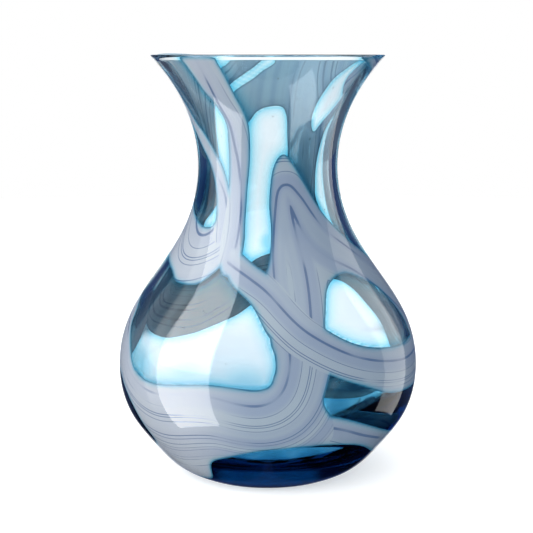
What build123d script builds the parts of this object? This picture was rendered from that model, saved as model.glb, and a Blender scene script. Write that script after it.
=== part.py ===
from build123d import *
import math
import os

# Driving dimensions, in millimetres and degrees. The vase stands on z = 0 and its axis is Z.
height = 250.0
foot_radius = 47.5
foot_slope = 30.0
wall = 4.8
trail_depth = 1.6
floor_thickness = 22.0
floor_radius = 62.0
bowl_rise = 12.0
pontil_radius = 15.0
pontil_depth = 1.2

# The outside of the vase from the foot to the rim, as tangent arcs of (radius, turn): the heel, the belly and the
# shoulder turn towards the axis, and the neck and the flare turn away from it. The flare runs past the cut rim.
arcs = [(100.0, 23.0), (64.5, 55.5), (122.0, 21.5), (98.0, -21.0), (87.0, -69.0)]
reach = 110.0

os.makedirs("parts", exist_ok=True)


def wall_arcs(inset):
    """Draws the outline at an inset into the wall, in the open BuildLine, and gives back its arcs."""
    slope = math.radians(foot_slope)
    start = Vector(foot_radius - inset * math.sin(slope), inset * math.cos(slope))
    along = Vector(math.cos(slope), math.sin(slope))
    drawn = []
    for radius, turn in arcs:
        inner_radius = radius - inset if turn > 0 else radius + inset
        arc = JernArc(start=start, tangent=along, radius=inner_radius, arc_size=turn)
        start = arc @ 1
        along = arc % 1
        drawn.append(arc)
    return drawn


with BuildLine() as outside:
    wall_arcs(0)


def outside_radius(z):
    """The radius of the vase's outside at a height, found by halving along its outline."""
    outline = outside.wire()
    low, high = 0.0, 1.0
    for _ in range(24):
        middle = (low + high) / 2
        if (outline @ middle).Y < z:
            low = middle
        else:
            high = middle
    return (outline @ low).X


def layer(outer_inset, inner_inset):
    """The wall between two insets, turned round the axis and cut level at the rim."""
    with BuildPart() as turned:
        with BuildSketch(Plane.XZ):
            with BuildLine():
                outer = wall_arcs(outer_inset)
                inner = wall_arcs(inner_inset)
                Line(outer[0] @ 0, inner[0] @ 0)
                Line(outer[-1] @ 1, inner[-1] @ 1)
            make_face()
            with Locations((0, height)):
                Rectangle(reach, reach, align=(Align.MIN, Align.MIN), mode=Mode.SUBTRACT)
        revolve(axis=Axis.Z)
    return turned


def lay_trail(skin, name, facing, outline):
    """Cuts one trail of opal glass out of the skin, inside an outline of (angle, height) points drawn square to the
    facing angle, and gives back the skin that is left. Angles run round from the front (-Y), growing towards +X."""
    turn = math.radians(facing)
    square_on = Plane(
        origin=(0, 0, 0),
        x_dir=(math.cos(turn), math.sin(turn), 0),
        z_dir=(math.sin(turn), -math.cos(turn), 0),
    )
    points = []
    for angle, z in outline:
        points.append((outside_radius(z) * math.sin(math.radians(angle - facing)), z))
    with BuildPart() as punch:
        with BuildSketch(square_on):
            with BuildLine():
                Spline(*points, periodic=True)
            make_face()
        extrude(amount=reach)
    with BuildPart() as trail:
        add(skin)
        add(punch.part, mode=Mode.INTERSECT)
    with BuildPart() as left:
        add(skin)
        add(punch.part, mode=Mode.SUBTRACT)
    trail.part.label = name
    export_step(trail.part, f"parts/{name}.step")
    return left.part


skin = layer(0, trail_depth).part

# Trails on the front and sides.
skin = lay_trail(
    skin,
    "belly_sash",
    35,
    [
        (-22, 142), (-6, 133), (6, 124), (20, 104), (37, 90), (60, 85), (85, 87), (104, 80), (100, 60),
        (80, 57), (53, 59), (35, 68), (20, 78), (10, 87), (0.8, 96.8), (-7, 113), (-21, 127)
    ],
)
skin = lay_trail(
    skin,
    "neck_ribbon",
    -28,
    [
        (-45, 256), (-27, 256), (-24.5, 244), (-20.5, 229), (-14, 212), (-14, 193), (-16, 174), (-16, 158),
        (-15, 144), (-17, 128), (-26, 130), (-32, 150), (-32, 193), (-31, 210), (-35, 220), (-42, 230),
        (-45, 244)
    ],
)
skin = lay_trail(
    skin,
    "side_ribbon",
    -57,
    [
        (-80, 240), (-74, 226), (-66, 213), (-57, 206), (-46, 195), (-38, 186), (-30, 172), (-20, 160),
        (-26, 146), (-38, 146), (-41, 161), (-46, 175), (-54, 188), (-66, 199), (-78, 212), (-87, 228),
        (-92, 240)
    ],
)
skin = lay_trail(
    skin,
    "left_lobe",
    -66,
    [
        (-16, 146), (-24, 135), (-31, 127), (-37, 122), (-45, 121), (-53, 122), (-63, 127), (-82, 132),
        (-100, 135), (-118, 143), (-118, 157), (-100, 166), (-82, 164), (-68, 158), (-54, 153), (-46, 152),
        (-41, 154), (-38, 162), (-30, 170), (-18, 160)
    ],
)
skin = lay_trail(
    skin,
    "shoulder_arch",
    50,
    [
        (11, 194), (4, 186), (1, 168), (2, 153), (1, 138), (-2, 122), (4, 104), (14, 93), (22, 93), (24, 105),
        (30, 121), (42, 127), (54, 123), (66, 114), (74, 98), (78, 82), (102, 78), (108, 100), (100, 120),
        (84, 130), (65, 142), (46, 158), (33, 174), (19, 190)
    ],
)
skin = lay_trail(
    skin,
    "lower_swirl",
    -38,
    [
        (12, 105), (18, 96), (23, 82), (20, 62), (24, 50), (24, 36), (10, 34), (-3, 32), (-15, 27), (-26, 21),
        (-33, 7), (-50, 4), (-70, 5), (-84, 10), (-72, 18), (-59, 27), (-60, 37), (-64, 48), (-72, 60),
        (-78, 68), (-72, 76), (-64, 78), (-58, 71), (-46, 67), (-22, 71), (-2.2, 70), (2.2, 78), (2.5, 87),
        (0.8, 97), (4, 107)
    ],
)
skin = lay_trail(
    skin,
    "left_edge_band",
    -84,
    [
        (-62, 58), (-59, 68), (-66, 84), (-72, 94), (-76, 104), (-90, 112), (-106, 104), (-112, 84),
        (-104, 70), (-84, 65), (-72, 63)
    ],
)
skin = lay_trail(
    skin,
    "heel_sash",
    48,
    [
        (10, 52), (22, 53), (31, 49), (43, 42), (54, 36), (66, 31), (80, 27), (88, 20), (76, 15), (60, 19),
        (42, 29), (30, 33), (14, 37)
    ],
)
skin = lay_trail(
    skin,
    "right_rim_ribbon",
    85,
    [
        (50, 256), (70, 256), (80, 247), (98, 243), (112, 232), (104, 224), (92, 229), (77, 238), (62, 244)
    ],
)

# Trails round the back.
skin = lay_trail(
    skin,
    "rear_neck_ribbon",
    205,
    [
        (179, 256), (196, 256), (201, 244), (206.5, 240), (213, 236.5), (227, 222), (222, 218), (215, 223.5),
        (208, 229.5), (196, 235), (187, 240)
    ],
)
skin = lay_trail(
    skin,
    "rear_left_ribbon",
    243,
    [
        (262, 256), (214, 256), (217, 238), (221, 226), (229, 215), (235, 200), (234, 186), (227, 174),
        (230, 160), (244, 150), (262, 152), (274, 170), (270, 200), (264, 232)
    ],
)
skin = lay_trail(
    skin,
    "rear_neck_band",
    160,
    [
        (118, 256), (170, 256), (183, 237), (195, 231), (206, 226), (209, 219), (204, 212), (196, 209),
        (188, 215), (174, 217), (166, 212), (163, 201), (163, 185), (166, 166), (160, 146), (146, 138),
        (128, 146), (132, 163), (130, 172), (126, 184), (122, 197), (134, 205), (137, 217), (126, 233)
    ],
)
skin = lay_trail(
    skin,
    "rear_side_band",
    98,
    [
        (80, 228), (93, 217), (101, 211), (108, 205), (111, 196), (113, 183), (115, 169), (118, 152),
        (112, 134), (98, 124), (93, 150), (92, 178), (90, 204)
    ],
)
skin = lay_trail(
    skin,
    "rear_belly_sash",
    145,
    [
        (98, 62), (106, 60), (114, 67), (120, 81), (127, 91), (135, 103), (143, 107), (156, 105), (172, 98),
        (188, 92), (193, 100), (189, 117), (178, 124), (168, 126), (156, 130), (140, 136), (122, 126),
        (108, 106), (98, 84)
    ],
)
skin = lay_trail(
    skin,
    "rear_left_sash",
    220,
    [
        (181, 92), (188, 83), (196, 75), (211, 68), (223, 67), (232, 69), (242, 76), (249, 85), (254, 94),
        (258, 114), (258, 134), (238, 142), (218, 136), (203, 129), (195, 123), (189, 114), (183, 104)
    ],
)
skin = lay_trail(
    skin,
    "rear_heel_swirl",
    130,
    [
        (94, 48), (112, 50), (132, 42), (152, 32), (168, 22), (162, 10), (140, 6), (116, 8), (96, 20)
    ],
)

# The gather left solid in the bottom: a puddle of deep blue glass with a bowl-shaped top, the floor of the vase.
# The foot below it is flat, and as thick upright as the sloping wall is square to itself.
foot_turn = math.radians(foot_slope)
foot_top = wall * math.cos(foot_turn)
bowl_radius = (floor_radius**2 + bowl_rise**2) / (2 * bowl_rise)
bowl_half = floor_thickness + bowl_radius - math.sqrt(bowl_radius**2 - floor_radius**2 / 4)
with BuildPart() as base_gather:
    with BuildSketch(Plane.XZ):
        with BuildLine():
            floor_arcs = wall_arcs(wall)
            top = (floor_arcs[-1] @ 1).Y
            Line((0, foot_top), floor_arcs[0] @ 0)
            Line(floor_arcs[-1] @ 1, (0, top))
            Line((0, top), (0, foot_top))
        make_face()
    revolve(axis=Axis.Z)
    with BuildSketch(Plane.XZ):
        with BuildLine():
            bowl = ThreePointArc(
                (0, floor_thickness),
                (floor_radius / 2, bowl_half),
                (floor_radius, floor_thickness + bowl_rise),
            )
            Polyline(
                bowl @ 1,
                (reach, floor_thickness + 2 * bowl_rise),
                (reach, height + reach),
                (0, height + reach),
                bowl @ 0,
            )
        make_face()
    revolve(axis=Axis.Z, mode=Mode.SUBTRACT)
base_gather.part.label = "base_gather"
export_step(base_gather.part, "parts/base_gather.step")

# The blown wall: its core and its closed foot, with the aqua skin that is left between the trails.
with BuildPart() as vase_body:
    add(layer(trail_depth, wall).part)
    with BuildSketch(Plane.XZ):
        with BuildLine():
            Polyline(
                (0, 0),
                (foot_radius, 0),
                (foot_radius - wall * math.sin(foot_turn), foot_top),
                (0, foot_top),
                close=True,
            )
        make_face()
    revolve(axis=Axis.Z)
    pontil_sphere = (pontil_radius**2 + pontil_depth**2) / (2 * pontil_depth)
    with Locations((0, 0, pontil_depth - pontil_sphere)):
        Sphere(pontil_sphere, mode=Mode.SUBTRACT)
    add(skin)
vase_body.part.label = "vase_body"
export_step(vase_body.part, "parts/vase_body.step")
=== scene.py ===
import math

import bmesh
import bpy
import numpy as np
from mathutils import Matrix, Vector
from mathutils.geometry import delaunay_2d_cdt


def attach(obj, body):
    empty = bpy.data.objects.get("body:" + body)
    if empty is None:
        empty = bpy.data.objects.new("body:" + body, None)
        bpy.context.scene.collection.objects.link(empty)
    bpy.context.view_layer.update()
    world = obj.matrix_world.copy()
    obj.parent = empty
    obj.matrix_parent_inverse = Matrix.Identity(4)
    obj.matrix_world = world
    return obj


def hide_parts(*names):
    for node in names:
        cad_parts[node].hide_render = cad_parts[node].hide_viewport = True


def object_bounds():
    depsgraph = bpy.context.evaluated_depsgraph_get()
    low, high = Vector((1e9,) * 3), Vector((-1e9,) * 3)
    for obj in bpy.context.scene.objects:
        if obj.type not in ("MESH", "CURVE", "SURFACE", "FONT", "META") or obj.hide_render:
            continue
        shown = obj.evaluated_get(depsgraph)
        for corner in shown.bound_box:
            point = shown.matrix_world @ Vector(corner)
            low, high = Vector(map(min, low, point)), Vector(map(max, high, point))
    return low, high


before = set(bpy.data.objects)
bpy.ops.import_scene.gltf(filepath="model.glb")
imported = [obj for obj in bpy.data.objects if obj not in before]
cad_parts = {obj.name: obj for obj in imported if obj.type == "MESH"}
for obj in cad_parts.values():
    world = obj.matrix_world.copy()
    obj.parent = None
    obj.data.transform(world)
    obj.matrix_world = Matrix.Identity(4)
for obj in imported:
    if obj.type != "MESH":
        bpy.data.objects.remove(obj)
cad_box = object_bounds()

# --------------------------------------------------------------------------------------------------
# The blown wall: one bubble of clear aqua glass, worked on the pipe into a round belly, a waisted
# neck and a flare. The rim is sawn level and polished, the foot is ground flat round a polished
# pontil recess, and the floor is thick.
MM = 0.001
RIM_HEIGHT = cad_box[1].z
# The wall's faces as (radius, height) points in millimetres, up from the foot.
OUTSIDE = [(47, 0), (56.5, 5), (71, 19.5), (84.2, 38), (90.2, 65), (84.6, 93), (68.3, 120),
           (49.5, 150), (41.7, 183), (47.3, 215), (58, 235), (69.2, 249.4)]
INSIDE = [(0, 21.5), (20, 22.2), (40, 25.5), (65, 36), (80.5, 51), (85.6, 69), (79.8, 94),
          (63.4, 120.5), (44.6, 150.5), (36.8, 183), (42.4, 215.5), (53, 235.5), (64.4, 249.4)]
FOOT = [(0, 1.2), (6, 1.0), (12, 0.35), (15, 0), (46, 0)]
WALL_STEPS = 150
WALL_SIDES = 288
LIP_STEPS = 5
GLASS_IOR = 1.5


def smooth_line(points, steps):
    """A line in metres, in even steps, through (radius, height) points in millimetres. It is a
    cubic spline with free ends, so its bend never jumps and the glass shows no kink."""
    p = np.array(points, float) * MM
    n = len(p)
    length = np.concatenate([[0], np.cumsum(np.hypot(*np.diff(p, axis=0).T))])
    gap = np.diff(length)
    bend = np.eye(n)
    pull = np.zeros((n, 2))
    for i in range(1, n - 1):
        bend[i, i - 1:i + 2] = gap[i - 1], 2 * (gap[i - 1] + gap[i]), gap[i]
        pull[i] = 6 * ((p[i + 1] - p[i]) / gap[i] - (p[i] - p[i - 1]) / gap[i - 1])
    m = np.linalg.solve(bend, pull)
    line = []
    for s in np.linspace(0, length[-1], steps):
        i = min(int(np.searchsorted(length, s, side="right")) - 1, n - 2)
        after, before, h = length[i + 1] - s, s - length[i], gap[i]
        cubic = (m[i] * after**3 + m[i + 1] * before**3) / (6 * h)
        line.append(cubic + (p[i] / h - m[i] * h / 6) * after
                    + (p[i + 1] / h - m[i + 1] * h / 6) * before)
    return np.array(line)


def new_piece(name, bm):
    """A smooth-shaded object from a bmesh, with its faces turned outwards."""
    bmesh.ops.recalc_face_normals(bm, faces=bm.faces)
    mesh = bpy.data.meshes.new(name)
    bm.to_mesh(mesh)
    bm.free()
    mesh.polygons.foreach_set("use_smooth", [True] * len(mesh.polygons))
    piece = bpy.data.objects.new(name, mesh)
    bpy.context.scene.collection.objects.link(piece)
    return piece


def turned(name, line, sides):
    """A closed (radius, height) line turned round the axis of the vase."""
    bm = bmesh.new()
    rings = []
    for radius, z in line:
        if radius < 1e-6:
            rings.append([bm.verts.new((0, 0, z))])
            continue
        ring = []
        for k in range(sides):
            angle = 2 * math.pi * k / sides
            ring.append(bm.verts.new((radius * math.sin(angle), -radius * math.cos(angle), z)))
        rings.append(ring)
    for low, high in zip(rings, rings[1:]):
        for k in range(sides):
            j = (k + 1) % sides
            if len(low) == 1:
                bm.faces.new((low[0], high[j], high[k]))
            elif len(high) == 1:
                bm.faces.new((low[k], low[j], high[0]))
            else:
                bm.faces.new((low[k], low[j], high[j], high[k]))
    return new_piece(name, bm)


outside = smooth_line(OUTSIDE, WALL_STEPS)
inside = smooth_line(INSIDE, WALL_STEPS)
foot = np.array(FOOT) * MM
lip_turn = np.linspace(0, math.pi / 2, LIP_STEPS)[1:]
lip_radius = RIM_HEIGHT - outside[-1, 1]
outer_lip = np.stack([outside[-1, 0] - lip_radius * (1 - np.cos(lip_turn)),
                      outside[-1, 1] + lip_radius * np.sin(lip_turn)], -1)
inner_lip = np.stack([inside[-1, 0] + lip_radius * (1 - np.cos(lip_turn)),
                      inside[-1, 1] + lip_radius * np.sin(lip_turn)], -1)
wall_line = np.vstack([foot, outside, outer_lip, inner_lip[::-1], inside[::-1]])
vase_wall = turned("vase_wall", wall_line, WALL_SIDES)

# The way the outside runs at each of its points, for whatever is laid into the wall.
slope = np.gradient(outside, axis=0)
slope /= np.linalg.norm(slope, axis=1)[:, None]


def wall_radius(z):
    """The outside radius at a height, both in metres."""
    return np.interp(z, outside[:, 1], outside[:, 0])


def in_wall(angle, z, depth):
    """Points at a depth below the outside; angles in degrees run from the front towards +X."""
    radius = wall_radius(z) - depth * np.interp(z, outside[:, 1], slope[:, 1])
    height = z + depth * np.interp(z, outside[:, 1], slope[:, 0])
    turn = np.radians(angle)
    return np.stack([radius * np.sin(turn), -radius * np.cos(turn), height], -1)


def new_material(name):
    """A node material, with its nodes and its links."""
    material = bpy.data.materials.new(name)
    material.use_nodes = True
    return material, material.node_tree.nodes, material.node_tree.links


aqua, nodes, links = new_material("aqua_glass")
skin = nodes["Principled BSDF"]
skin.inputs["Roughness"].default_value = 0.0
skin.inputs["IOR"].default_value = GLASS_IOR
skin.inputs["Transmission Weight"].default_value = 1.0
# The blue painted into the skin beside the trails and in pools, partly the glass's own blue and
# partly painted shade: none, pale cyan, teal, and the deepest blue.
skin_blue_and_shade = nodes.new("ShaderNodeAttribute")
skin_blue_and_shade.attribute_name = "halo"
blues = nodes.new("ShaderNodeValToRGB")
blues.color_ramp.elements[0].color = (1, 1, 1, 1)
blues.color_ramp.elements[1].color = (0.01, 0.15, 0.30, 1)
for share, blue in ((0.3, (0.62, 0.92, 0.98, 1)), (0.65, (0.14, 0.62, 0.84, 1))):
    blues.color_ramp.elements.new(share).color = blue
links.new(skin_blue_and_shade.outputs["Fac"], blues.inputs["Fac"])
links.new(blues.outputs["Color"], skin.inputs["Base Color"])
depth_tint = nodes.new("ShaderNodeVolumeAbsorption")
depth_tint.inputs["Color"].default_value = (0.40, 0.66, 0.78, 1)
depth_tint.inputs["Density"].default_value = 60.0
links.new(depth_tint.outputs["Volume"], nodes["Material Output"].inputs["Volume"])
vase_wall.data.materials.append(aqua)
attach(vase_wall, "root")
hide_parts("vase_body")

# --------------------------------------------------------------------------------------------------
# The base gather: the first gather on the pipe, of a much deeper blue, left solid in the bottom of
# the vase. It lies wholly inside the clear glass, which wets it all round, so its own faces don't
# shine.
GATHER = [(0, 3.0), (28, 3.4), (43, 7), (53, 11.5), (61, 17), (64, 22), (61, 26.5), (50, 26),
          (38, 23), (20, 20.6), (0, 20)]
GATHER_STEPS = 60
GATHER_SIDES = 160
WETTED_IOR = 1.01
base_gather = turned("base_gather", smooth_line(GATHER, GATHER_STEPS), GATHER_SIDES)
deep, nodes, links = new_material("deep_blue_glass")
skin = nodes["Principled BSDF"]
skin.inputs["Base Color"].default_value = (1, 1, 1, 1)
skin.inputs["Roughness"].default_value = 0.0
skin.inputs["IOR"].default_value = WETTED_IOR
skin.inputs["Transmission Weight"].default_value = 1.0
depth_tint = nodes.new("ShaderNodeVolumeAbsorption")
depth_tint.inputs["Color"].default_value = (0.02, 0.60, 0.78, 1)
depth_tint.inputs["Density"].default_value = 32.0
links.new(depth_tint.outputs["Volume"], nodes["Material Output"].inputs["Volume"])
base_gather.data.materials.append(deep)
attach(base_gather, "root")
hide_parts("base_gather")

# --------------------------------------------------------------------------------------------------
# The trails: gathers of lilac-grey opal glass, trailed hot onto the bubble and marvered in until
# they lie under its skin and flow into each other. The blue glass that was dragged along with them
# shows as fine flow lines.
TRAIL_THICKNESS = 1.2
FEATHER = 2.6
FEATHER_CURVE = 0.6
FILL_STEP = 2.3
FILL_MARGIN = 0.8
LINE_STEP = 1.6
MM_PER_DEGREE = 1.3
ON_EDGE = 1e-3

# Each trail as its CAD node, depth in millimetres, outline of (angle, height) points, and the line
# of the same kind that it was dragged along, which its flow lines follow.
FRONT_TRAILS = [
    ("belly_sash", 0.4,
     [(-22, 142), (-6, 133), (6, 124), (20, 104), (37, 90), (60, 85), (85, 87), (104, 80),
      (100, 60), (80, 57), (53, 59), (35, 68), (20, 78), (10, 87), (0.8, 96.8), (-7, 113),
      (-21, 127)],
     [(-24, 140), (-6, 133), (6, 124), (20, 104), (37, 90), (60, 85), (85, 87), (106, 82)]),
    ("neck_ribbon", 0.45,
     [(-45, 248.6), (-27, 248.6), (-24.5, 244), (-20.5, 229), (-14, 212), (-14, 193), (-16, 174),
      (-16, 158), (-15, 144), (-17, 128), (-26, 130), (-32, 150), (-32, 193), (-31, 210),
      (-35, 220), (-42, 230), (-45, 244)],
     [(-27, 252), (-20.5, 229), (-14, 212), (-14, 193), (-16, 174), (-15, 144), (-17, 126)]),
    ("side_ribbon", 0.6,
     [(-80, 240), (-74, 226), (-66, 213), (-57, 206), (-46, 195), (-38, 186), (-30, 172),
      (-20, 160), (-26, 146), (-38, 146), (-41, 161), (-46, 175), (-54, 188), (-66, 199),
      (-78, 212), (-87, 228), (-92, 240)],
     [(-78, 240), (-66, 213), (-57, 206), (-46, 195), (-38, 186), (-30, 172), (-24, 150)]),
    ("left_lobe", 0.7,
     [(-16, 146), (-24, 135), (-31, 127), (-37, 122), (-45, 121), (-53, 122), (-63, 127),
      (-82, 132), (-100, 135), (-118, 143), (-118, 157), (-100, 166), (-82, 164), (-68, 158),
      (-54, 153), (-46, 152), (-41, 154), (-38, 162), (-30, 170), (-18, 160)],
     [(-62, 170), (-57, 158), (-51, 152), (-45, 152), (-41, 157), (-39, 170)]),
    ("shoulder_arch", 0.6,
     [(11, 194), (4, 186), (1, 168), (2, 153), (1, 138), (-2, 122), (4, 104), (14, 93), (22, 93),
      (24, 105), (30, 121), (42, 127), (54, 123), (66, 114), (74, 98), (78, 82), (102, 78),
      (108, 100), (100, 120), (84, 130), (65, 142), (46, 158), (33, 174), (19, 190)],
     [(12, 96), (11, 130), (12, 170), (21, 168), (36, 148), (58, 132), (80, 112), (95, 90)]),
    ("lower_swirl", 0.6,
     [(12, 105), (18, 96), (23, 82), (20, 62), (24, 50), (24, 36), (10, 34), (-3, 32), (-15, 27),
      (-26, 21), (-33, 7), (-50, 4), (-70, 5), (-84, 10), (-72, 18), (-59, 27), (-60, 37),
      (-64, 48), (-72, 60), (-78, 68), (-72, 76), (-64, 78), (-58, 71), (-46, 67), (-22, 71),
      (-2.2, 70), (2.2, 78), (2.5, 87), (0.8, 97), (4, 107)],
     [(-66, 92), (-63, 77), (-46, 67), (-22, 71), (-3, 70), (2.7, 81), (2, 96), (-6, 112)]),
    ("left_edge_band", 0.75,
     [(-62, 58), (-59, 68), (-66, 84), (-72, 94), (-76, 104), (-90, 112), (-106, 104), (-112, 84),
      (-104, 70), (-84, 65), (-72, 63)],
     [(-62, 58), (-60, 68), (-66, 84), (-74, 97), (-90, 112)]),
    ("heel_sash", 0.7,
     [(10, 52), (22, 53), (31, 49), (43, 42), (54, 36), (66, 31), (80, 27), (88, 20), (76, 15),
      (60, 19), (42, 29), (30, 33), (14, 37)],
     [(8, 50), (22, 53), (43, 42), (66, 31), (90, 24)]),
    ("right_rim_ribbon", 0.6,
     [(50, 248.5), (70, 248.5), (80, 247), (98, 243), (112, 232), (104, 224), (92, 229),
      (77, 238), (62, 244)],
     [(50, 250), (62, 244), (77, 238), (92, 229), (106, 222)]),
]
REAR_TRAILS = [
    ("rear_neck_ribbon", 0.6,
     [(179, 248.5), (196, 248.5), (201, 244), (206.5, 240), (213, 236.5), (227, 222), (222, 218),
      (215, 223.5), (208, 229.5), (196, 235), (187, 240)],
     [(196, 250), (206.5, 240), (213, 236.5), (229, 220)]),
    ("rear_left_ribbon", 0.8,
     [(262, 248.5), (214, 248.5), (217, 238), (221, 226), (229, 215), (235, 200), (234, 186),
      (227, 174), (230, 160), (244, 150), (262, 152), (274, 170), (270, 200), (264, 232)],
     [(214, 250), (221, 226), (233, 206), (234, 186), (227, 174), (232, 156)]),
    ("rear_neck_band", 0.6,
     [(104, 248.5), (169, 248.5), (176, 241), (183, 237), (190, 233), (206, 226), (209, 219),
      (205, 211), (198, 208), (189, 215), (180, 218), (169, 218), (164, 212), (162, 200),
      (161, 188), (164, 168), (160, 146), (146, 138), (128, 146), (132, 163), (130, 172),
      (126, 184), (120, 197), (114, 206.5), (104, 213.5), (96, 218.5), (91, 223.5), (97, 224.5),
      (107, 219.5), (125, 208.5), (134, 203), (139, 209), (138, 219), (130, 231), (117, 239)],
     [(150, 252), (152, 232), (146, 208), (144, 185), (148, 160), (146, 132)]),
    ("rear_side_band", 0.8,
     [(80, 228), (93, 217), (101, 211), (108, 205), (111, 196), (113, 183), (115, 169),
      (118, 152), (112, 134), (98, 124), (93, 150), (92, 178), (90, 204)],
     [(84, 230), (106, 208), (111, 190), (116, 165), (110, 126)]),
    ("rear_belly_sash", 0.6,
     [(98, 62), (106, 60), (114, 67), (120, 81), (127, 91), (135, 103), (143, 107), (156, 105),
      (172, 98), (188, 92), (193, 100), (189, 117), (178, 124), (168, 126), (156, 130),
      (140, 136), (122, 126), (108, 106), (98, 84)],
     [(98, 62), (114, 67), (127, 91), (143, 107), (156, 105), (172, 98), (190, 90)]),
    ("rear_left_sash", 0.8,
     [(181, 92), (188, 83), (196, 75), (211, 68), (223, 67), (232, 69), (242, 76), (249, 85),
      (254, 94), (258, 114), (258, 134), (238, 142), (218, 136), (203, 129), (195, 123),
      (189, 114), (183, 104)],
     [(180, 94), (196, 75), (217, 67), (242, 76), (254, 94), (260, 120)]),
    ("rear_heel_swirl", 0.6,
     [(94, 48), (112, 50), (132, 42), (152, 32), (168, 22), (162, 10), (140, 6), (116, 8),
      (96, 20)],
     [(92, 36), (112, 32), (132, 26), (156, 14)]),
]


def closed_line(points):
    """A smooth closed line through the (angle, height) points, in short steps."""
    p = np.array(points, float)
    n = len(p)
    line = []
    for i in range(n):
        a, b, c, d = p[i - 1], p[i], p[(i + 1) % n], p[(i + 2) % n]
        steps = max(4, int(np.hypot(*((c - b) * [MM_PER_DEGREE, 1])) / LINE_STEP))
        for u in np.linspace(0, 1, steps, endpoint=False):
            line.append(0.5 * (2 * b + (c - a) * u + (2 * a - 5 * b + 4 * c - d) * u**2
                               + (3 * b - a - 3 * c + d) * u**3))
    return np.array(line)


def edge_distance(spots, line):
    """How far (angle, height) spots are from a closed line on the wall, in millimetres."""
    after = np.roll(line, -1, 0)
    out = []
    for part in np.array_split(spots, max(1, len(spots) // 1500)):
        scale = np.radians(wall_radius(part[:, 1] * MM) / MM)[:, None, None] * [1, 0] + [0, 1]
        near = (part[:, None] - line[None]) * scale
        run = (after - line)[None] * scale
        share = np.clip((near * run).sum(-1) / np.maximum((run**2).sum(-1), 1e-9), 0, 1)
        out.append(np.linalg.norm(near - share[..., None] * run, axis=-1).min(1))
    return np.concatenate(out)


def is_inside(spots, line):
    """Which (angle, height) spots a closed line holds: a ray from them crosses it an odd number of
    times."""
    x, y = spots[:, :1], spots[:, 1:]
    a, b = line, np.roll(line, -1, 0)
    crosses = (a[:, 1] > y) != (b[:, 1] > y)
    at = (b[:, 0] - a[:, 0]) * (y - a[:, 1]) / (b[:, 1] - a[:, 1] + 1e-12) + a[:, 0]
    return (crosses & (x < at)).sum(1) % 2 == 1


def turned_near(spots, line):
    """The same spots, with angles counted on the turn that the line lies on."""
    middle = (line[:, 0].min() + line[:, 0].max()) / 2
    return np.stack([(spots[:, 0] - middle + 180) % 360 - 180 + middle, spots[:, 1]], -1)


def colour_depth(spots, own, lines):
    """How far spots of a trail are from clear glass, where the trails that overlap count as one."""
    depth = own.copy()
    for line in lines:
        near = turned_near(spots, line)
        shared = (near > line.min(0)).all(1) & (near < line.max(0)).all(1)
        if shared.any():
            shared[shared] = is_inside(near[shared], line)
        if shared.any():
            depth[shared] = np.maximum(depth[shared], edge_distance(near[shared], line))
    return depth


def lay_trail(node, line, lead, lines, depth, material):
    """One trail: a sheet that fills the line, thick in the middle and thinned to nothing at its
    edge. Each point keeps how deep it lies in the colour and how far from the lead it is."""
    low, high = line.min(0), line.max(0)
    across = np.arange(low[0], high[0], FILL_STEP / MM_PER_DEGREE)
    up = np.arange(low[1], high[1], FILL_STEP)
    fill = np.stack(np.meshgrid(across, up), -1).reshape(-1, 2)
    fill = fill[is_inside(fill, line)]
    fill = fill[edge_distance(fill, line) > FILL_MARGIN]
    spots = np.vstack([line, fill])
    flat = [Vector((a * MM_PER_DEGREE, z)) for a, z in spots]
    rim = [(i, (i + 1) % len(line)) for i in range(len(line))]
    made, _, triangles, *_ = delaunay_2d_cdt(flat, rim, [], 1, 1e-4)
    spots = np.array([(v.x / MM_PER_DEGREE, v.y) for v in made])
    own = edge_distance(spots, line)
    own[own < ON_EDGE] = 0
    swell = TRAIL_THICKNESS * np.clip(own / FEATHER, 0, 1) ** FEATHER_CURVE
    top = in_wall(spots[:, 0], spots[:, 1] * MM, np.full(len(spots), depth * MM))
    under = in_wall(spots[:, 0], spots[:, 1] * MM, (depth + swell) * MM)
    bm = bmesh.new()
    marks = {"edge": colour_depth(spots, own, lines), "flow": edge_distance(spots, lead)}
    layers = {name: bm.verts.layers.float.new(name) for name in marks}
    tops = [bm.verts.new(p) for p in top]
    unders = [tops[i] if own[i] == 0 else bm.verts.new(p) for i, p in enumerate(under)]
    for triangle in triangles:
        bm.faces.new([tops[i] for i in triangle])
        if not all(own[i] == 0 for i in triangle):
            bm.faces.new([unders[i] for i in reversed(triangle)])
    for name, values in marks.items():
        for i, value in enumerate(values):
            tops[i][layers[name]] = value
            unders[i][layers[name]] = value
    loose = [v for v in bm.verts if not v.link_faces]
    bmesh.ops.delete(bm, geom=loose, context="VERTS")
    tops = set(tops)
    for seam in bm.edges:
        over = [all(v in tops for v in face.verts) for face in seam.link_faces]
        seam.smooth = len(set(over)) == 1
    piece = new_piece(node + "_trail", bm)
    piece.data.materials.append(material)
    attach(piece, "root")
    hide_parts(node)


def calc(tree, operation, *values):
    """A sum in a node tree, of sockets and plain numbers."""
    node = tree.nodes.new("ShaderNodeMath")
    node.operation = operation
    for socket, value in zip(node.inputs, values):
        if isinstance(value, (int, float)):
            socket.default_value = value
        else:
            tree.links.new(value, socket)
    return node.outputs["Value"]


def fade(tree, value, low, high, start, end):
    """Goes softly from start to end while the value goes from low to high."""
    node = tree.nodes.new("ShaderNodeMapRange")
    node.interpolation_type = "SMOOTHSTEP"
    tree.links.new(value, node.inputs["Value"])
    ends = {"From Min": low, "From Max": high, "To Min": start, "To Max": end}
    for name, number in ends.items():
        node.inputs[name].default_value = number
    return node.outputs["Result"]


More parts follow.
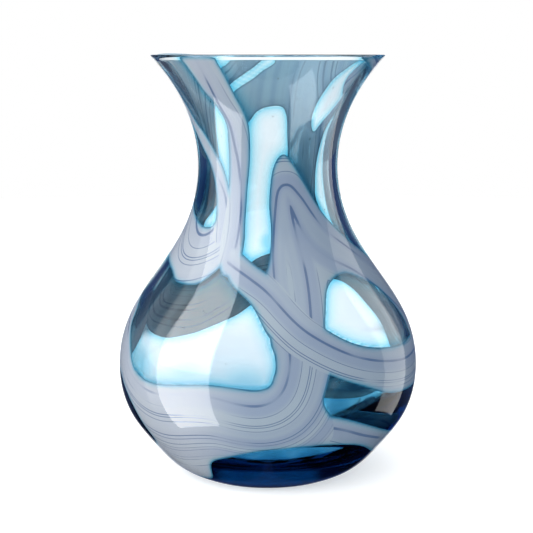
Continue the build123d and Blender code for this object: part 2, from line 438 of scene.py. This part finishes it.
def mix_colours(tree, a, b, factor):
    """Colour a, turning into colour b as the factor goes to 1. Each is a socket or plain."""
    node = tree.nodes.new("ShaderNodeMix")
    node.data_type = "RGBA"
    for name, colour in (("A", a), ("B", b)):
        if isinstance(colour, tuple):
            node.inputs[name].default_value = (*colour, 1)
        else:
            tree.links.new(colour, node.inputs[name])
    tree.links.new(factor, node.inputs["Factor"])
    return node.outputs["Result"]


DRIFT_SCALE = 14.0
PATCH_SCALE = 30.0
PATCH_SEED = 5.0
LINES_PER_ROW = 6.5


def flow_line_group():
    """Lines that nest one inside the other, wander a little, come at uneven spacing, and fade out
    here and there."""
    group = bpy.data.node_groups.new("flow_lines", "ShaderNodeTree")
    for name, start in (("Flow", 0.0), ("Spacing", 3.0), ("Wander", 1.0), ("Seed", 0.0)):
        socket = group.interface.new_socket(name, in_out="INPUT", socket_type="NodeSocketFloat")
        socket.default_value = start
    for name in ("Lines", "Bands"):
        group.interface.new_socket(name, in_out="OUTPUT", socket_type="NodeSocketFloat")
    come, go = group.nodes.new("NodeGroupInput"), group.nodes.new("NodeGroupOutput")
    seed = come.outputs["Seed"]

    def noise(dimensions, scale, detail, vector, w):
        node = group.nodes.new("ShaderNodeTexNoise")
        node.noise_dimensions = dimensions
        node.inputs["Scale"].default_value = scale
        node.inputs["Detail"].default_value = detail
        if vector:
            group.links.new(vector, node.inputs["Vector"])
        group.links.new(w, node.inputs["W"])
        return node.outputs["Fac"]

    place = group.nodes.new("ShaderNodeTexCoord").outputs["Object"]
    drift = noise("4D", DRIFT_SCALE, 0.0, place, seed)
    steps = calc(group, "DIVIDE", come.outputs["Flow"], come.outputs["Spacing"])
    wander = calc(group, "MULTIPLY_ADD", drift, come.outputs["Wander"], steps)
    rows = noise("1D", 1.0, 1.0, None, calc(group, "ADD", wander, seed))
    near = calc(group, "PINGPONG", calc(group, "MULTIPLY", rows, LINES_PER_ROW), 0.5)
    thin = fade(group, near, 0.01, 0.10, 1.0, 0.0)
    patches = noise("4D", PATCH_SCALE, 1.0, place, calc(group, "ADD", seed, PATCH_SEED))
    patchy = fade(group, patches, 0.36, 0.54, 0.15, 1.0)
    group.links.new(calc(group, "MULTIPLY", thin, patchy), go.inputs["Lines"])
    group.links.new(fade(group, rows, 0.42, 0.60, 0.0, 1.0), go.inputs["Bands"])
    return group


flow_lines = flow_line_group()


TEAL_EDGE = (0.07, 0.27, 0.42)
TEAL_WIDTH = 1.4
TEAL_SHARE = 0.65
LINE_SHARE = 0.8
OPAL_ROUGHNESS = 0.35


def opal_glass(name, seed, spacing, wander, pale, lilac, painted_light_colour, painted_shade_colour, line):
    """Glossy opal glass: two body colours in bands, flow lines between them, painted light that
    makes it brighter on the left, painted shade that makes it bluer and darker on the right, and a
    thin teal edge where it meets the clear glass."""
    material, nodes, links = new_material(name)
    tree = material.node_tree
    shine = nodes["Principled BSDF"]
    shine.inputs["Roughness"].default_value = OPAL_ROUGHNESS
    shine.inputs["IOR"].default_value = GLASS_IOR
    edge, lead = nodes.new("ShaderNodeAttribute"), nodes.new("ShaderNodeAttribute")
    edge.attribute_name, lead.attribute_name = "edge", "flow"
    flow = nodes.new("ShaderNodeGroup")
    flow.node_tree = flow_lines
    flow.inputs["Spacing"].default_value = spacing
    flow.inputs["Wander"].default_value = wander
    flow.inputs["Seed"].default_value = seed
    links.new(lead.outputs["Fac"], flow.inputs["Flow"])
    place = nodes.new("ShaderNodeTexCoord")
    axes = nodes.new("ShaderNodeSeparateXYZ")
    links.new(place.outputs["Object"], axes.inputs["Vector"])
    x = axes.outputs["X"]
    body = mix_colours(tree, pale, lilac, flow.outputs["Bands"])
    # Painted shade: the body turns darker and bluer towards +X. Painted light: it turns brighter
    # towards -X.
    body = mix_colours(tree, body, painted_shade_colour, fade(tree, x, -0.02, 0.07, 0.0, 0.35))
    body = mix_colours(tree, body, painted_light_colour, fade(tree, x, -0.05, -0.005, 0.75, 0.0))
    lined = fade(tree, flow.outputs["Lines"], 0.0, 1.0, 0.0, LINE_SHARE)
    body = mix_colours(tree, body, line, lined)
    at_edge = fade(tree, edge.outputs["Fac"], 0.0, TEAL_WIDTH, TEAL_SHARE, 0.0)
    links.new(mix_colours(tree, body, TEAL_EDGE, at_edge), shine.inputs["Base Color"])
    return material


# Each opal's bright colour is painted light for its left side, and its shaded colour is painted
# shade for its right side.
front_opal = opal_glass(
    "opal_front", seed=3.0, spacing=11.0, wander=1.5,
    pale=(0.57, 0.67, 0.76), lilac=(0.44, 0.54, 0.70), painted_light_colour=(0.84, 0.86, 0.92),
    painted_shade_colour=(0.36, 0.47, 0.60), line=(0.08, 0.18, 0.40))
rear_opal = opal_glass(
    "opal_rear", seed=8.0, spacing=12.0, wander=1.6,
    pale=(0.50, 0.75, 0.86), lilac=(0.38, 0.62, 0.78), painted_light_colour=(0.62, 0.78, 0.86),
    painted_shade_colour=(0.36, 0.54, 0.70), line=(0.16, 0.30, 0.46))
outlines = [closed_line(points) for _, _, points, _ in FRONT_TRAILS + REAR_TRAILS]
for (node, depth, _, lead), line in zip(FRONT_TRAILS + REAR_TRAILS, outlines):
    there_and_back = closed_line(lead + lead[-2:0:-1])
    opal = rear_opal if node.startswith("rear") else front_opal
    lay_trail(node, line, there_and_back, outlines, depth, opal)

# The clear skin beside the trails is painted blue, darkest at their edges and fading in a few
# millimetres: a painted fringe for the light that the glass bends at the trails' edges. Deep blue
# pools are painted where the glass looks dark, partly deep blue glass and partly painted shade, as
# (angle, height, reach, strength).
HALO_WIDTH = 11.0
HALO_STRENGTH = 0.8
HALO_FADE = 2.2
FRINGE_OVERLAP = 2.4
SKIN_REACH = 0.5
SKIN_FROM = 40
POOLS = [(-55, 172, 16, 0.95), (36, 60, 24, 0.9), (66, 48, 20, 0.9), (13, 188, 9, 0.75),
         (2, 146, 7, 0.7), (-84, 45, 20, 0.8), (-56, 73, 15, 0.6), (-30, 62, 17, 0.45),
         (-8, 66, 16, 0.5), (26, 58, 13, 0.98), (18, 176, 9, 0.8), (-14, 24, 11, 0.85),
         (2, 25, 11, 0.85), (18, 26, 11, 0.85), (34, 24, 11, 0.85)]
spots = np.array([v.co for v in vase_wall.data.vertices])
radius = np.hypot(spots[:, 0], spots[:, 1])
on_skin = (radius > wall_radius(spots[:, 2]) - SKIN_REACH * MM) & (radius > SKIN_FROM * MM)
around = np.stack([np.degrees(np.arctan2(spots[:, 0], -spots[:, 1])), spots[:, 2] / MM], -1)
clearance = np.full(len(spots), HALO_WIDTH)
covered = np.zeros(len(spots))
for line in outlines:
    flat = turned_near(around, line)
    close = on_skin & (flat > line.min(0) - HALO_WIDTH).all(1)
    close &= (flat < line.max(0) + HALO_WIDTH).all(1)
    away = edge_distance(flat[close], line)
    clearance[close] = np.minimum(clearance[close], away)
    covered[close] = np.maximum(covered[close], away * is_inside(flat[close], line))
# Painted shade: the blue fringe beside the trails, and the pools, which are partly deep blue glass.
halo = HALO_STRENGTH * (1 - clearance / HALO_WIDTH) ** HALO_FADE
for angle, height, reach, strength in POOLS:
    away = (around - (angle, height)) * [np.radians(wall_radius(height * MM) / MM), 1]
    halo = np.maximum(halo, strength * np.exp(-((np.linalg.norm(away, axis=1) / reach) ** 4)))
halo *= on_skin * np.clip(1 - covered / FRINGE_OVERLAP, 0, 1)
layer = vase_wall.data.attributes.new("halo", "FLOAT", "POINT")
layer.data.foreach_set("value", halo.astype(np.float32))

# --------------------------------------------------------------------------------------------------
# Seeds: tiny bubbles of air that stayed in the melt, scattered through the wall and drawn long by
# the blowing. Light bends the other way as it passes from the glass into them.
SEED_COUNT = 70
SEED_SIZES = (0.18, 0.42)
SEED_HEIGHTS = (30, 240)
SEED_DEPTHS = (2.4, 3.8)
SEED_STRETCH = (1.0, 1.9)
AIR_IN_GLASS_IOR = 0.667
chance = np.random.default_rng(7)
bm = bmesh.new()
for _ in range(SEED_COUNT):
    size = chance.uniform(*SEED_SIZES) * MM
    z = chance.uniform(*SEED_HEIGHTS) * MM
    spot = in_wall(chance.uniform(-180, 180), z, chance.uniform(*SEED_DEPTHS) * MM)
    bubble = bmesh.ops.create_icosphere(bm, subdivisions=2, radius=size)["verts"]
    stretch = chance.uniform(*SEED_STRETCH)
    for vertex in bubble:
        vertex.co.z *= stretch
        vertex.co += Vector(spot)
seeds = new_piece("seed_bubbles", bm)
air, nodes, links = new_material("seed_air")
skin = nodes["Principled BSDF"]
skin.inputs["Roughness"].default_value = 0.0
skin.inputs["IOR"].default_value = AIR_IN_GLASS_IOR
skin.inputs["Transmission Weight"].default_value = 1.0
seeds.data.materials.append(air)
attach(seeds, "root")

# --------------------------------------------------------------------------------------------------
# The studio: a pale floor, paper sweeps behind the vase with dark gaps beside them that draw the
# edges of the glass, and tall softboxes. The glass sees all of these; matt surfaces see one broad
# soft key light from the upper left. Bearings run in degrees from behind the vase towards +X.
scene = bpy.context.scene
FLOOR_RADIUS = 1.6
FLOOR_DROP = 0.3 * MM
FLOOR_SIDES = 96
# Paper sweeps as (bearing, half width), and softboxes as (from, to, low, high, strength).
SWEEPS = [(0, 17), (-90, 17)]
SWEEP_EDGE = 3
SWEEP_LIGHT = 1.22
GAP_LIGHT = 0.09
SOFTBOXES = [(-136, -88, -0.70, 0.85, 5.0), (51, 82, -0.5, 0.7, 1.6)]
SIDE_EDGE = math.radians(0.5)
END_EDGE = 0.01
NEAR_FLOOR = (0.36, 0.52)
FLOOR_GLOW = 0.10
TOP_LIGHT = 0.9
KEY_FROM = (-0.62, -0.52, 0.58)
KEY_LIGHT = (0.36, 1.85)
PAPER, DARK_PAPER = (0.84, 0.85, 0.86), (0.02, 0.03, 0.06)
DUSK, DAY = (0.45, 0.70, 1.7), (1, 1, 1)


def choose(tree, factor, a, b):
    """Number a, or number b where the factor is 1. Each is a socket or plain."""
    node = tree.nodes.new("ShaderNodeMix")
    tree.links.new(factor, node.inputs["Factor"])
    for name, value in (("A", a), ("B", b)):
        if isinstance(value, (int, float)):
            node.inputs[name].default_value = value
        else:
            tree.links.new(value, node.inputs[name])
    return node.outputs["Result"]


def came_by(tree, path, depth):
    """1 for a ray with any depth of that kind on its light path, and 0 for any other."""
    return fade(tree, path.outputs[depth], 0.4, 0.6, 0.0, 1.0)


def sweeps_at(tree, x, y, reach):
    """Brightness of the paper sweeps by bearing, for a horizontal (x, y) of the given length."""
    light = None
    for bearing, half_width in SWEEPS:
        turn = math.radians(bearing)
        along_y = calc(tree, "MULTIPLY", y, math.cos(turn))
        ahead = calc(tree, "MULTIPLY_ADD", x, math.sin(turn), along_y)
        towards = calc(tree, "DIVIDE", ahead, reach)
        outer = math.cos(math.radians(half_width + SWEEP_EDGE))
        inner = math.cos(math.radians(half_width - SWEEP_EDGE))
        sweep = fade(tree, towards, outer, inner, GAP_LIGHT, SWEEP_LIGHT)
        light = sweep if light is None else calc(tree, "MAXIMUM", light, sweep)
    return light


floor_mesh = bpy.data.meshes.new("floor")
bm = bmesh.new()
bmesh.ops.create_circle(bm, cap_ends=True, segments=FLOOR_SIDES, radius=FLOOR_RADIUS)
for vertex in bm.verts:
    vertex.co.z = -FLOOR_DROP
bm.to_mesh(floor_mesh)
bm.free()
floor = bpy.data.objects.new("floor", floor_mesh)
scene.collection.objects.link(floor)
pale, nodes, links = new_material("pale_floor")
tree = pale.node_tree
matt = nodes["Principled BSDF"]
matt.inputs["Roughness"].default_value = 0.8
matt.inputs["Specular IOR Level"].default_value = 0.1
matt.inputs["Emission Color"].default_value = (1, 1, 1, 1)
path = nodes.new("ShaderNodeLightPath")
place = nodes.new("ShaderNodeTexCoord")
axes = nodes.new("ShaderNodeSeparateXYZ")
links.new(place.outputs["Object"], axes.inputs["Vector"])
x, y = axes.outputs["X"], axes.outputs["Y"]
reach = calc(tree, "SQRT", calc(tree, "MULTIPLY_ADD", x, x, calc(tree, "MULTIPLY", y, y)))
# Through glass the floor carries on the sweeps, and is bright near the vase. It lights matt pieces
# only a little.
near_light = fade(tree, reach, *NEAR_FLOOR, SWEEP_LIGHT, GAP_LIGHT)
through_glass = calc(tree, "MAXIMUM", sweeps_at(tree, x, y, reach), near_light)
matt_ray = came_by(tree, path, "Diffuse Depth")
dimmed = fade(tree, matt_ray, 0.0, 1.0, 1.0, FLOOR_GLOW)
through_glass = calc(tree, "MULTIPLY", through_glass, dimmed)
glass_ray = calc(tree, "SUBTRACT", came_by(tree, path, "Transmission Depth"), matt_ray)
links.new(mix_colours(tree, PAPER, DARK_PAPER, glass_ray), matt.inputs["Base Color"])
# Seen straight, the paper glows a little brighter away from the vase: painted light, with painted
# shade near the vase.
seen = fade(tree, reach, 0.12, 0.75, 0.50, 0.75)
glow = choose(tree, path.outputs["Is Camera Ray"], through_glass, seen)
links.new(glow, matt.inputs["Emission Strength"])
floor_mesh.materials.append(pale)
floor.visible_glossy = False

world = bpy.data.worlds.new("studio")
world.use_nodes = True
scene.world = world
tree = world.node_tree
nodes, links = tree.nodes, tree.links
look = nodes.new("ShaderNodeTexCoord")
axes = nodes.new("ShaderNodeSeparateXYZ")
links.new(look.outputs["Generated"], axes.inputs["Vector"])
x, y, z = (axes.outputs[name] for name in "XYZ")
z_squared = calc(tree, "MULTIPLY", z, z)
flat_reach = calc(tree, "SQRT", calc(tree, "SUBTRACT", 1.0, z_squared))
light = sweeps_at(tree, x, y, flat_reach)
light = calc(tree, "MULTIPLY", light, fade(tree, z, -0.55, -0.30, 0.06, 1.0))
light = calc(tree, "MAXIMUM", light, fade(tree, z, 0.55, 0.80, 0.0, TOP_LIGHT))
bearing = calc(tree, "ARCTAN2", x, y)
for first, last, low, high, strength in SOFTBOXES:
    first, last = math.radians(first), math.radians(last)
    box = fade(tree, bearing, first - SIDE_EDGE, first + SIDE_EDGE, 0.0, strength)
    for value, at, soft_edge, start, end in (
            (bearing, last, SIDE_EDGE, 1, 0), (z, low, END_EDGE, 0, 1), (z, high, END_EDGE, 1, 0)):
        side = fade(tree, value, at - soft_edge, at + soft_edge, start, end)
        box = calc(tree, "MULTIPLY", box, side)
    light = calc(tree, "MAXIMUM", light, box)
aim = Vector(KEY_FROM).normalized()
key = calc(tree, "MULTIPLY", z, aim.z)
key = calc(tree, "MULTIPLY_ADD", y, aim.y, key)
key = calc(tree, "MULTIPLY_ADD", x, aim.x, key)
soft = fade(tree, key, -0.5, 1.0, *KEY_LIGHT)
path = nodes.new("ShaderNodeLightPath")
light = choose(tree, came_by(tree, path, "Diffuse Depth"), light, soft)
light = choose(tree, path.outputs["Is Camera Ray"], light, 1.0)
links.new(light, nodes["Background"].inputs["Strength"])
# The dark gaps are navy rather than black.
tint = mix_colours(tree, DUSK, DAY, fade(tree, light, 0.05, 0.5, 0.0, 1.0))
links.new(tint, nodes["Background"].inputs["Color"])

# The camera stands at rim height, so the rim is seen edge-on as a straight line. It looks down a
# little and stands a hair to the left.
CAMERA_DISTANCE = 0.80
CAMERA_PITCH = 8.98
CAMERA_ASIDE = -0.0008
camera_data = bpy.data.cameras.new("camera")
camera_data.lens = 90.6
camera_data.sensor_width = 36.0
camera = bpy.data.objects.new("camera", camera_data)
camera.location = (CAMERA_ASIDE, -CAMERA_DISTANCE, RIM_HEIGHT)
camera.rotation_euler = (math.radians(90 - CAMERA_PITCH), 0, 0)
scene.collection.objects.link(camera)
scene.camera = camera
scene.view_settings.view_transform = "Standard"
